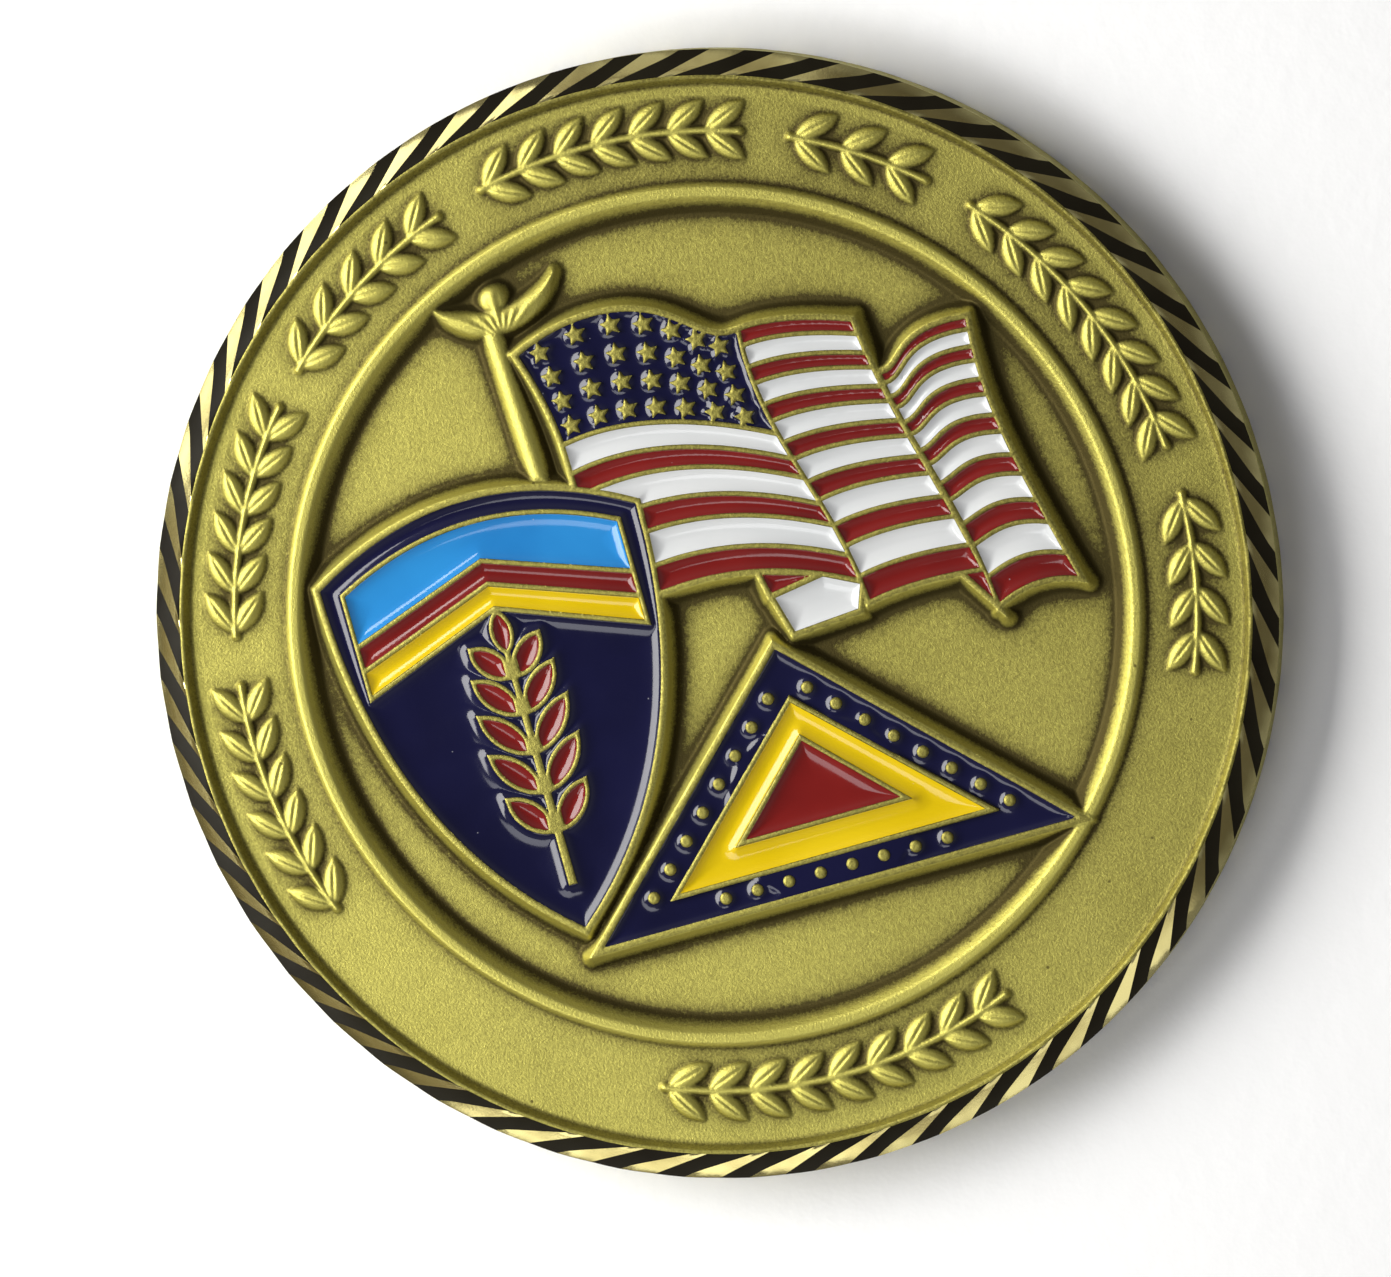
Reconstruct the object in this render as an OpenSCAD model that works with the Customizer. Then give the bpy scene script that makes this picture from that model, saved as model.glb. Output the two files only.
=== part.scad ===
// Struck challenge coin with soft-enamel fills.
// The coin lies on its reverse: +Z is up through the obverse, and +Y points to
// the top of the design. The origin is the centre of the reverse, on the table.

/* [Blank] */
// Outside diameter of the coin
coin_d = 44.45; // [44:0.05:45]
// Thickness over both rims
coin_t = 3.0; // [2.9:0.1:3.4]
// Width of the cut band around each rim
cut_band_w = 1.0; // [0.9:0.05:1.1]
// Drop of the cut band from its crest to the edge
cut_band_drop = 0.42; // [0.35:0.01:0.5]
// Number of slanting cuts around each rim
cut_count = 54; // [48:1:60]
// Angle of each cut away from the rim's own direction
cut_slant = 23; // [20:1:28]
// Depth of each cut below the band
cut_depth = 0.15; // [0.1:0.01:0.18]

/* [Relief] */
// Depth of the border field below the rim
border_depth = 0.38; // [0.3:0.01:0.45]
// Depth of the centre field below the rim, on the obverse
centre_depth = 0.75; // [0.65:0.01:0.8]
// Depth of the centre field below the rim, on the reverse
reverse_depth = 0.6; // [0.5:0.01:0.7]
// Outer foot radius of the raised ring
ring_r = 17.1; // [17:0.05:17.2]
// Depth of the emblem lands below the rim
land_depth = 0.1; // [0.05:0.01:0.15]
// Depth of the ring's crest below the rim
ring_depth = 0.14; // [0.1:0.01:0.18]
// Width of the metal lines between enamel cells
line_w = 0.2; // [0.16:0.01:0.24]
// Width of the metal line around each emblem
edge_w = 0.24; // [0.2:0.01:0.28]

/* [Enamel] */
// Depth of the enamel surface below the lands
fill_drop = 0.1; // [0.06:0.01:0.14]
// Thickness of each enamel fill
fill_t = 0.3; // [0.2:0.01:0.35]

/* [Flag] */
// Studs across the canton
stud_columns = 7; // [5:1:7]
// Studs down the canton
stud_rows = 4; // [3:1:4]
// Outer radius of each star stud
stud_r = 0.45; // [0.36:0.01:0.46]

/* [Hidden] */
// Levels, from the table up
z_rim = coin_t;
z_border = coin_t - border_depth;
z_centre = coin_t - centre_depth;
z_land = coin_t - land_depth;
z_fill = z_land - fill_drop;
z_floor = z_fill - fill_t;
z_sprig = z_land - 0.02;
z_pole = z_land - 0.12;
sunk = 0.05; // how far raised shapes reach into the field below them

// Radii, from the edge in
edge_r = coin_d / 2;
crest_r = edge_r - cut_band_w;
crest_w = 0.14;
crest_nick = 0.03; // how far the cuts nick the crest
rim_wall = 0.24;
cut_long = 0.54; // share of the pitch taken by a cut's long flank
cut_short = 1 - cut_long;
ring_slope_out = 0.16;
ring_crest_w = 0.5;
ring_slope_in = centre_depth - ring_depth;

// Border ornament
sprig_r = 19.05;
sprig_stem_w = 0.26;
leaf_l = 1.85;
leaf_w = 0.78;
leaf_lean = 36;
leaf_pitch = 4.5;
leaf_steps = 5;
sprigs = [[202, 173], [167, 139], [134, 109], [103, 71], [65, 48], [42, 5], [-1, -22]];
lower_sprig = [248, 292];
lower_sprig_r = 18.75;

// Shield, in its own upright frame centred on x = shield_x
shield_x = -8.28;
shield_half_w = 6.52;
shield_shoulder = 5.08;
shield_crown = 1.9;
shield_tip = -10.45;
shield_side = [[shield_half_w, shield_shoulder], [shield_half_w, -0.5], [4.95, -6.3], [0, shield_tip]];
shield_steps = 14; // points down each side
chief_half_w = 5.72;
chief_inset = 0.85;
chief_peaks = [4.55, 3.6, 2.6];
chief_feet = [2.55, 1.55, 0.45];
stem_base = -8.7;
stem_top = 1.2;
stem_w = 0.36;
sprig_leaf_y = [-6.6, -5.0, -3.4, -1.8, -0.3];
sprig_leaf_l = [2.3, 2.6, 2.6, 2.35, 2.0];
sprig_leaf_w = 0.95;
sprig_leaf_lean = 42;
sprig_leaf_gap = 0.12; // from the stem's centre line to each leaf's foot
sprig_top_l = 1.75;
sprig_top_w = 0.8;
sprig_top_drop = 0.45; // how far the top leaf's foot is below the stem's end
stem_line_w = 0.08; // metal left beside the stem and the leaves

// Triangle
triangle = [[1.97, -1.89], [-7.81, -11.43], [11.65, -11.42]];
frame_out = [[2, -3.95], [-4.52, -10.27], [8.52, -10.23]];
frame_in = [[2.01, -5.5], [-1.43, -8.91], [5.39, -8.89]];
bead_r = 0.24;
beads_per_side = 8;
bead_gap = 1.3;

// Flag: each edge is a Bezier curve through these control points
stripe_count = 13;
canton_stripes = 7; // stripes beside the canton
fold_1 = [[4.03, 10.57], [3.66, 6.07], [5.88, 3.27], [6.07, -1.13]];
fold_2 = [[8.47, 9.73], [8.92, 5.58], [9.92, 3.28], [10.77, -1.07]];
hoist_top = [[-4.76, 11.95], [-1.98, 13.25], [2.16, 13.27], [1.85, 10.26], [4.03, 10.57]];
hoist_edge = [[-4.76, 11.95], [-4.31, 10.65], [-4.01, 9.35], [-3.92, 8.05]];
canton_foot = [[-3.92, 8.05], [-1.39, 8.55], [1.44, 7.66], [4.13, 6.19]];
canton_share = 0.362; // share of fold_1 beside the canton
hoist_lower = [[-3.92, 8.05], [-3.87, 5.84], [-3.83, 3.44], [-3.93, 1.04]];
hoist_foot = [[-3.93, 1.04], [0.21, 2.05], [3.24, 1.26], [6.08, -0.24]];
hoist_share = 0.93; // share of fold_1 that the hoist panel reaches
middle_top = [[4.03, 10.57], [5.49, 10.72], [7.11, 10.23], [8.47, 9.73]];
middle_foot = [[6.07, -1.13], [7.48, -0.83], [9.2, -0.87], [10.77, -1.07]];
fly_top = [[8.92, 7.43], [10.03, 7.38], [9.74, 8.98], [12.87, 8.64]];
fly_inner = [[8.92, 7.43], [9.22, 4.48], [10.53, 2.28], [10.97, -2.62]];
fly_outer = [[12.87, 8.64], [12.45, 5.29], [13.25, 2.09], [14.4, -2.46]];
fly_foot = [[10.97, -2.62], [11.93, -2.12], [13.14, -1.91], [14.4, -2.46]];
fold_tab = [[2.43, 0.11], [4.61, 0.44], [6.05, -0.28], [5.66, -1.33], [2.88, -1.54]];
tab_shadow = [[2.18, 1.18], [4.56, 0.48], [2.38, 0.16]];
fly_dart = [[9.91, -0.97], [10.82, -1.07], [10.97, -2.62]];
stud_waist = 0.52; // inner to outer radius of a stud's star
stud_first = [0.074, 0.123]; // the first stud, as shares of the canton across and down
stud_last = [0.883, 0.864]; // the last stud
stripe_taper = 0.28; // how much the stripes widen from top to foot
white_extra = 0.13; // how much wider a white stripe is than a red one
edge_steps = 10; // points along a stripe, and down a panel
top_steps = 16; // points along the canton's top
side_steps = 4; // points down the canton's sides

// Pole and finial
pole = [[-5.77, 13.24], [-5.01, 13.25], [-4.78, 6.44], [-5.54, 6.64]];
finial_at = [-5.01, 12.9]; // the foot of the wings
wing_r = 2.75;
wing_cut_rise = 0.95;
wing_cut_r = 4.3;
head_rise = 1.35;
head_r = 0.5;

// Reverse
wreath_top = land_depth + 0.04;
wreath_stem_w = 0.4;
wreath_tie_r = 0.9;
star_top = reverse_depth - 0.08;
star_step = [0.4, 0.16]; // how far the star's base stands out at points and notches
wreath_r = 11.8;
wreath_arc = [-80, 62];
wreath_leaf_l = 3.2;
wreath_leaf_w = 1.35;
wreath_pitch = 12;
star_out = 7.6;
star_in = 2.95;
star_rise = 0.42;
border_stars = 12;
border_star_r = 1.15;
bar_l = 2.6;
bar_w = 0.5;

golden_in = 0.382; // inner to outer radius of a regular star
brass = "#a89c4c";
navy = "#14183c";
sky = "#2f93da";
red = "#941b20";
yellow = "#ecc90c";
white = "#dfe4ea";

$fn = 96;

// ---- Names -----------------------------------------------------------------

PANELS = ["hoist", "middle", "fly"];
COLOURS = ["red", "white"];
SIDES = ["left", "right"];
CHIEF = ["blue", "red", "yellow"];

function first_stripe(p) = p == 0 ? canton_stripes : 0;
function stripe_name(p, k) = str(PANELS[p], "_stripe_", k + 1, "_", COLOURS[k % 2]);
function leaf_name(side, i) = str("sprig_leaf_", SIDES[side], "_", i + 1);
function chief_name(i) = str("chief_band_", CHIEF[i]);

// ---- Curves ----------------------------------------------------------------

// A point on the Bezier curve of any number of control points
function bezier(p, t) =
    len(p) == 1 ? p[0]
    : bezier([for (i = [0:len(p) - 2]) p[i] * (1 - t) + p[i + 1] * t], t);

function reversed(v) = [for (i = [len(v) - 1:-1:0]) v[i]];

// A point inside the patch between four edges; s runs across, t runs down.
// share is how much of the left and right edges the patch uses.
function patch(top, foot, left, right, s, t, share = [1, 1], from = [0, 0]) =
    let (l = bezier(left, from[0] + (share[0] - from[0]) * t),
         r = bezier(right, from[1] + (share[1] - from[1]) * t),
         tl = top[0], tr = top[len(top) - 1],
         fl = foot[0], fr = foot[len(foot) - 1])
    (1 - t) * bezier(top, s) + t * bezier(foot, s) + (1 - s) * l + s * r
    - ((1 - s) * (1 - t) * tl + s * (1 - t) * tr + (1 - s) * t * fl + s * t * fr);

function canton_at(s, t) =
    patch(hoist_top, canton_foot, hoist_edge, fold_1, s, t, [1, canton_share]);

function panel_at(p, s, t) =
    p == 0 ? patch(canton_foot, hoist_foot, hoist_lower, fold_1, s, t,
                   [1, hoist_share], [0, canton_share])
    : p == 1 ? patch(middle_top, middle_foot, fold_1, fold_2, s, t)
    : patch(fly_top, fly_foot, fly_inner, fly_outer, s, t);

// How far down a panel the top of stripe k lies, from 0 to 1
function stripe_sum(k) = k - white_extra * (k % 2);
function stripe_t(p, k) =
    let (k0 = first_stripe(p),
         u = (stripe_sum(k) - stripe_sum(k0)) / (stripe_sum(stripe_count) - stripe_sum(k0)),
         taper = p == 0 ? stripe_taper / 3 : stripe_taper)
    u * (1 - taper * (1 - u));

function strip(p, t0, t1) = concat(
    [for (i = [0:edge_steps]) panel_at(p, i / edge_steps, t0)],
    [for (i = [edge_steps:-1:0]) panel_at(p, i / edge_steps, t1)]);

function stripe_points(p, k) = strip(p, stripe_t(p, k), stripe_t(p, k + 1));

// The outline of a panel, down both of its sides
function panel_points(p) = concat(
    [for (i = [0:edge_steps]) panel_at(p, i / edge_steps, 0)],
    [for (i = [1:edge_steps - 1]) panel_at(p, 1, i / edge_steps)],
    [for (i = [edge_steps:-1:0]) panel_at(p, i / edge_steps, 1)],
    [for (i = [edge_steps - 1:-1:1]) panel_at(p, 0, i / edge_steps)]);

canton_points = concat(
    [for (i = [0:top_steps]) canton_at(i / top_steps, 0)],
    [for (i = [1:side_steps - 1]) canton_at(1, i / side_steps)],
    [for (i = [edge_steps:-1:0]) canton_at(i / edge_steps, 1)],
    [for (i = [side_steps - 1:-1:1]) canton_at(0, i / side_steps)]);

// A leaf along +X from the origin, pointed at both ends
function leaf_points(length, width) =
    let (r = (length * length + width * width) / (4 * width),
         half = asin(length / 2 / r))
    concat(
        [for (i = [0:leaf_steps]) let (a = half * (1 - 2 * i / leaf_steps))
            [length / 2 - r * sin(a), r * cos(a) - r + width / 2]],
        [for (i = [1:leaf_steps - 1]) let (a = half * (1 - 2 * i / leaf_steps))
            [length / 2 + r * sin(a), r - r * cos(a) - width / 2]]);

function star_points(r_out, r_in) =
    [for (i = [0:9]) (i % 2 ? r_in : r_out) * [sin(36 * i), cos(36 * i)]];

// Height of the shield's top edge at x
function crown(x) = shield_shoulder + shield_crown * (1 - pow(x / shield_half_w, 2));

// n + 1 positions evenly from -half to half
function across(half, n) = [for (i = [0:n]) half * (2 * i / n - 1)];

shield_points = concat(
    [for (x = across(shield_half_w, top_steps)) [x, crown(x)]],
    [for (i = [1:shield_steps]) bezier(shield_side, i / shield_steps)],
    [for (i = [shield_steps - 1:-1:1])
        let (q = bezier(shield_side, i / shield_steps)) [-q[0], q[1]]]);

// Lower edge of chief band i at x, a shallow chevron
function chief_line(i) = [
    [-chief_half_w, chief_feet[i]], [0, chief_peaks[i]], [chief_half_w, chief_feet[i]]];

chief_top = [for (x = across(chief_half_w, top_steps)) [x, crown(x) - chief_inset]];

// ---- Flat shapes ----------------------------------------------------------

// Joins flat shapes into clean outlines
module outline() offset(delta = 0) children();

module in_shield() translate([shield_x, 0]) children();

module shield_2d() in_shield() polygon(shield_points);

module chief_2d(i)
    in_shield() polygon(concat(i == 0 ? chief_top : chief_line(i - 1), reversed(chief_line(i))));

module chief_all_2d()
    in_shield() polygon(concat(chief_top, reversed(chief_line(2))));

module stem_2d()
    in_shield() polygon([[-stem_w / 2, stem_base], [stem_w / 2, stem_base],
                         [stem_w / 3, stem_top], [-stem_w / 3, stem_top]]);

module sprig_leaf_2d(side, i)
    in_shield() translate([0, sprig_leaf_y[i]])
        rotate(side == 0 ? 90 + sprig_leaf_lean : 90 - sprig_leaf_lean)
            translate([sprig_leaf_gap, 0])
                polygon(leaf_points(sprig_leaf_l[i], sprig_leaf_w));

module sprig_top_2d()
    in_shield() translate([0, stem_top - sprig_top_drop]) rotate(90)
        polygon(leaf_points(sprig_top_l, sprig_top_w));

module sprig_all_2d() {
    for (side = [0:1], i = [0:4]) sprig_leaf_2d(side, i);
    sprig_top_2d();
}

module beads_2d() {
    for (a = [[0, 1], [0, 2], [1, 2]]) {
        p = triangle[a[0]];
        q = triangle[a[1]];
        mid = (frame_out[a[0]] + frame_out[a[1]] + p + q) / 4;
        for (i = [0:beads_per_side - 1])
            translate(mid + (q - p) / norm(q - p) * bead_gap * (i - (beads_per_side - 1) / 2))
                circle(bead_r, $fn = 16);
    }
}

module studs_2d() {
    for (i = [0:stud_columns - 1], j = [0:stud_rows - 1]) {
        across = stud_first[0] + (stud_last[0] - stud_first[0]) * i / (stud_columns - 1);
        down = stud_first[1] + (stud_last[1] - stud_first[1]) * j / (stud_rows - 1);
        translate(canton_at(across, down)) polygon(star_points(stud_r, stud_r * stud_waist));
    }
}

// The flag's whole outline, with the metal line around it. Each panel grows on
// its own, so neighbours lap over the folds between them.
module flag_2d() {
    offset(delta = edge_w / 2) polygon(canton_points);
    for (p = [0:2]) offset(delta = edge_w / 2) polygon(panel_points(p));
    offset(delta = edge_w / 2) polygon(fold_tab);
    offset(delta = edge_w / 2) polygon(tab_shadow);
    offset(delta = edge_w / 2) polygon(fly_dart);
}

module finial_2d() {
    translate(finial_at) {
        difference() {
            translate([0, wing_r]) circle(wing_r, $fn = 48);
            translate([0, wing_cut_rise + wing_cut_r]) circle(wing_cut_r, $fn = 96);
        }
        translate([0, head_rise]) circle(head_r, $fn = 24);
    }
}

// One sprig of leaf pairs along a border arc, from angle a0 to a1
module sprig_arc_2d(a0, a1, r, length, width, pitch, stem) {
    pairs = max(1, floor(abs(a1 - a0) / pitch));
    step = (a1 - a0) / pairs;
    turn = a1 > a0 ? 90 : -90;
    polygon(concat([for (i = [0:pairs * 2]) let (a = a0 + step * i / 2)
                       (r + stem / 2) * [cos(a), sin(a)]],
                   [for (i = [pairs * 2:-1:0]) let (a = a0 + step * i / 2)
                       (r - stem / 2) * [cos(a), sin(a)]]));
    for (i = [0:pairs - 1], side = [-1, 1]) {
        a = a0 + step * (i + 0.1);
        rotate(a) translate([r, 0]) rotate(turn + side * leaf_lean)
            polygon(leaf_points(length, width));
    }
}

// ---- Solids ----------------------------------------------------------------

module raise(z0, z1) translate([0, 0, z0]) linear_extrude(height = z1 - z0) children();

// The turned blank: rims, border fields, rings and sunk centres
module blank() {
    z_rev = reverse_depth;
    ring_in = ring_r - ring_slope_out - ring_crest_w;
    rotate_extrude() polygon([
        [0, z_rev],
        [ring_in - (z_rev - ring_depth), z_rev],
        [ring_in, ring_depth],
        [ring_in + ring_crest_w, ring_depth],
        [ring_r, border_depth],
        [crest_r - crest_w - rim_wall, border_depth],
        [crest_r - crest_w, 0],
        [crest_r, 0],
        [edge_r, cut_band_drop],
        [edge_r, z_rim - cut_band_drop],
        [crest_r, z_rim],
        [crest_r - crest_w, z_rim],
        [crest_r - crest_w - rim_wall, z_border],
        [ring_r, z_border],
        [ring_in + ring_crest_w, z_rim - ring_depth],
        [ring_in, z_rim - ring_depth],
        [ring_in - ring_slope_in, z_centre],
        [0, z_centre]]);
}

// One slanting V groove across the upper cut band at angle 0. It starts at the
// crest and deepens outward; its long flank faces the crest.
module rim_cut() {
    start = cut_depth * 0.7;
    slope = atan((cut_band_drop + start) / cut_band_w);
    pitch = PI * (edge_r + crest_r) / cut_count * sin(cut_slant);
    over = 0.4;
    grow = 1 + over / cut_depth;
    reach = cut_band_w / sin(cut_slant);
    translate([crest_r, 0, z_rim + start])
        rotate([0, slope, 0]) rotate(cut_slant) translate([0, reach * 0.6, 0])
            rotate([90, 0, 0]) linear_extrude(height = reach * 2)
                polygon([[0, -cut_depth], [cut_short * pitch * grow, over],
                         [-cut_long * pitch * grow, over]]);
}

module rim_cuts() {
    intersection() {
        for (i = [0:cut_count - 1]) rotate(i * 360 / cut_count) rim_cut();
        difference() {
            translate([0, 0, z_rim - 1]) cylinder(r = edge_r + 1, h = 2);
            translate([0, 0, z_rim - 2]) cylinder(r = crest_r - crest_nick, h = 4);
        }
    }
}

module obverse_relief() {
    // metal lines, cut through where the enamel lies
    raise(z_floor, z_land) outline() difference() {
        emblems_2d();
        cells_2d();
    }
    raise(z_centre - sunk, z_floor) outline() emblems_2d();
    raise(z_centre - sunk, z_pole) outline() difference() {
        union() {
            polygon(pole);
            finial_2d();
        }
        emblems_2d();
    }
    raise(z_border - sunk, z_sprig) outline() {
        for (s = sprigs)
            sprig_arc_2d(s[0], s[1], sprig_r, leaf_l, leaf_w, leaf_pitch, sprig_stem_w);
        sprig_arc_2d(lower_sprig[0], lower_sprig[1], lower_sprig_r, leaf_l, leaf_w,
                     leaf_pitch, sprig_stem_w);
    }
}

// A star with ten sloping facets, point up the Y axis, facing down
module faceted_star() {
    rim = star_points(star_out, star_in);
    polyhedron(
        points = concat([for (p = rim) [p[0], p[1], 0]], [[0, 0, -star_rise], [0, 0, sunk * 2]]),
        faces = concat([for (i = [0:9]) [(i + 1) % 10, i, 10]],
                       [for (i = [0:9]) [i, (i + 1) % 10, 11]]));
}

module reverse_relief() {
    z_rev = reverse_depth;
    raise(wreath_top, z_rev + sunk) outline() {
        for (m = [0, 1]) mirror([m, 0])
            sprig_arc_2d(wreath_arc[0], wreath_arc[1], wreath_r, wreath_leaf_l,
                         wreath_leaf_w, wreath_pitch, wreath_stem_w);
        translate([0, -wreath_r]) circle(wreath_tie_r, $fn = 32);
    }
    raise(land_depth, border_depth + sunk) outline() {
        for (i = [0:border_stars - 1]) rotate(i * 360 / border_stars) {
            translate([0, sprig_r]) rotate(180)
                polygon(star_points(border_star_r, border_star_r * golden_in));
            rotate(180 / border_stars) translate([0, sprig_r])
                square([bar_l, bar_w], center = true);
        }
    }
    raise(star_top, z_rev + sunk)
        polygon(star_points(star_out + star_step[0], star_in + star_step[1]));
    translate([0, 0, star_top + sunk / 2]) faceted_star();
}

module coin_body() color(brass) {
    difference() {
        union() {
            blank();
            obverse_relief();
            reverse_relief();
        }
        rim_cuts();
        translate([0, 0, z_rim]) mirror([0, 0, 1]) rim_cuts();
    }
}

// ---- Enamel cells ----------------------------------------------------------

// A cell's flat shape, set in by half a metal line, and clear of the shield
module cell(behind_shield = false) outline() difference() {
    offset(delta = -line_w / 2) children();
    if (behind_shield) offset(delta = edge_w) shield_2d();
}

module stripe_cell(p, k) cell(p == 0) polygon(stripe_points(p, k));

module canton_cell() outline() difference() {
    offset(delta = -line_w / 2) polygon(canton_points);
    studs_2d();
}

module tab_cell() cell() polygon(fold_tab);
module tab_shadow_cell() cell() polygon(tab_shadow);
module dart_cell() cell() polygon(fly_dart);
module chief_cell(i) cell() chief_2d(i);
module leaf_cell(side, i) cell() difference() {
    sprig_leaf_2d(side, i);
    offset(delta = stem_line_w) stem_2d();
}
module leaf_top_cell() cell() sprig_top_2d();

module shield_cell() outline() difference() {
    shield_2d();
    offset(delta = line_w / 2) chief_all_2d();
    offset(delta = stem_line_w) sprig_all_2d();
    stem_2d();
}

module triangle_cell() outline() difference() {
    polygon(triangle);
    offset(delta = line_w / 2) polygon(frame_out);
    beads_2d();
}

module frame_cell() outline() difference() {
    offset(delta = -line_w / 2) polygon(frame_out);
    offset(delta = line_w / 2) polygon(frame_in);
}

module centre_cell() cell() polygon(frame_in);

module cells_2d() {
    canton_cell();
    for (p = [0:2], k = [first_stripe(p):stripe_count - 1]) stripe_cell(p, k);
    tab_cell();
    tab_shadow_cell();
    dart_cell();
    for (i = [0:2]) chief_cell(i);
    for (side = [0:1], i = [0:4]) leaf_cell(side, i);
    leaf_top_cell();
    shield_cell();
    triangle_cell();
    frame_cell();
    centre_cell();
}

// The emblems' whole outlines, with the metal line around each
module emblems_2d() {
    offset(delta = edge_w) shield_2d();
    offset(delta = edge_w) polygon(triangle);
    flag_2d();
}

module fill(tint) color(tint) raise(z_floor, z_fill) children();

function stripe_tint(k) = k % 2 ? white : red;
chief_tints = [sky, red, yellow];

coin_body();
fill(navy) canton_cell();  // canton_field
for (p = [0:2], k = [first_stripe(p):stripe_count - 1])
    fill(stripe_tint(k)) stripe_cell(p, k);
fill(white) tab_cell();  // fold_tab_white
fill(red) tab_shadow_cell();  // fold_tab_red
fill(red) dart_cell();  // fly_dart_red
fill(navy) shield_cell();  // shield_field
for (i = [0:2])
    fill(chief_tints[i]) chief_cell(i);
for (side = [0:1], i = [0:4])
    fill(red) leaf_cell(side, i);
fill(red) leaf_top_cell();  // sprig_leaf_top
fill(navy) triangle_cell();  // triangle_field
fill(yellow) frame_cell();  // triangle_frame
fill(red) centre_cell();  // triangle_centre
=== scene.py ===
"""Struck challenge coin: fine relief, enamel fills, materials, lights and camera.

Heights and outlines are worked out in millimetres in the CAD frame, and each
mesh is scaled to metres when it is made.
"""

import math

import bpy
import numpy as np
from mathutils import Matrix, Vector
from mathutils.geometry import delaunay_2d_cdt


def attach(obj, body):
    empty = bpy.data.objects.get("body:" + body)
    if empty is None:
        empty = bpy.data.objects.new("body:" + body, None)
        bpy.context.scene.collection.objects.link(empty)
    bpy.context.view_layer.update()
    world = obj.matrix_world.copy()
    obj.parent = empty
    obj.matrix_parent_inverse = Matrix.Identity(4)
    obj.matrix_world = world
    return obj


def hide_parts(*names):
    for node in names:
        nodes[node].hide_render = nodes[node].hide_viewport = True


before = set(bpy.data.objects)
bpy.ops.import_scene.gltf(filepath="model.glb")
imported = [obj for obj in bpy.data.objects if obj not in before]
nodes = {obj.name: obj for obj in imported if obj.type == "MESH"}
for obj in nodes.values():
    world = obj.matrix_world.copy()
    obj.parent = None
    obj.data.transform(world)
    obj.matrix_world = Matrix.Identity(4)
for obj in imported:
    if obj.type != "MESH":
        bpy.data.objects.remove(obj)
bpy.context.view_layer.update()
MM = 0.001

# ---- Levels and radii of the struck blank, in millimetres --------------------

THICK = 3.0
EDGE_R = 22.225
CREST_R = 21.225
CREST_W = 0.14
RIM_WALL = 0.24
BAND_DROP = 0.42
Z_BORDER = 2.62
Z_CENTRE = 2.25
Z_LAND = 2.9
Z_RING = 2.86
Z_SPRIG = 2.88
Z_POLE = 2.78
Z_FLOOR = 2.5
Z_FILL = 2.8
REVERSE_FIELD = THICK - 0.6
RING_R = 17.1
RING_CREST = (16.44, 16.94)
RING_PROFILE = [(0, Z_CENTRE), (RING_CREST[0] - 0.64, Z_CENTRE),
                (RING_CREST[0] + 0.02, Z_RING - 0.03), (RING_CREST[0] + 0.09, Z_RING - 0.005),
                (RING_CREST[1] - 0.09, Z_RING), (RING_R - 0.01, Z_BORDER), (EDGE_R, Z_BORDER)]
JOIN_R = 20.45          # where the grid of each face meets the turned rim
STEP = 0.05
BLOCK = 8      # grid squares along a coarse square

CUTS = 54
SLANT = math.radians(23)
CUT_DEPTH = 0.15
CUT_LONG = 0.54
CUT_SHORT = 1 - CUT_LONG
SPLIT = [0, CUT_SHORT / 2, CUT_SHORT, CUT_SHORT + CUT_LONG / 3, CUT_SHORT + CUT_LONG / 1.5]
COLUMNS = CUTS * len(SPLIT)

EMBLEM_SLOPE = 1.3      # steepness of the metal round each emblem
EDGE_ROUND = 0.035      # drop of a metal line at its rounded edge
FINIAL_HUB = (-5.01, 12.6)
FINIAL_FOOT_Y = 12.95   # the feathers are cut above this
FEATHERS = 22

SPRIG_R = 19.05
SPRIGS = [(202, 173), (167, 139), (134, 109), (103, 71), (65, 48), (42, 5), (-1, -22)]
LOWER_SPRIG = (248, 292)
LOWER_SPRIG_R = 18.75
LEAF = {"length": 1.85, "width": 0.78, "lean": 36, "pitch": 4.5, "stem": 0.26}
WREATH_R = 11.8
WREATH = (-80, 62)
WREATH_LEAF = {"length": 3.2, "width": 1.35, "lean": 36, "pitch": 12, "stem": 0.4}
WREATH_RISE = 0.46
TIE_R = 0.9
STAR_OUT, STAR_IN, STAR_RISE = 7.6, 2.95, 0.42
STAR_BASE = (0.4, 0.16, 0.08)       # the base's reach at points and notches, and its height
BORDER_MARKS = 12       # stars on the reverse border, with a bar after each
BORDER_STAR_R = 1.15
BORDER_BAR = (1.3, 0.25)            # half its length and width
BORDER_RISE = 0.28
GOLDEN_IN = 0.382       # inner to outer radius of a regular star

ENAMEL_DROP = 0.12      # from the CAD fill's top to the middle of the real one
ENAMEL_SPREAD = 0.012   # how unevenly the cells are filled

# ---- Outlines from the CAD nodes ---------------------------------------------


def triangle_edges(tris):
    return np.concatenate([tris[:, [0, 1]], tris[:, [1, 2]], tris[:, [2, 0]]])


def open_edges(tris, size):
    """Edges with no triangle on their other side; size is the number of points."""
    edges = triangle_edges(tris).astype(np.int64)
    here, back = edges[:, 0] * size + edges[:, 1], edges[:, 1] * size + edges[:, 0]
    return edges[~np.isin(here, back)]


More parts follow.
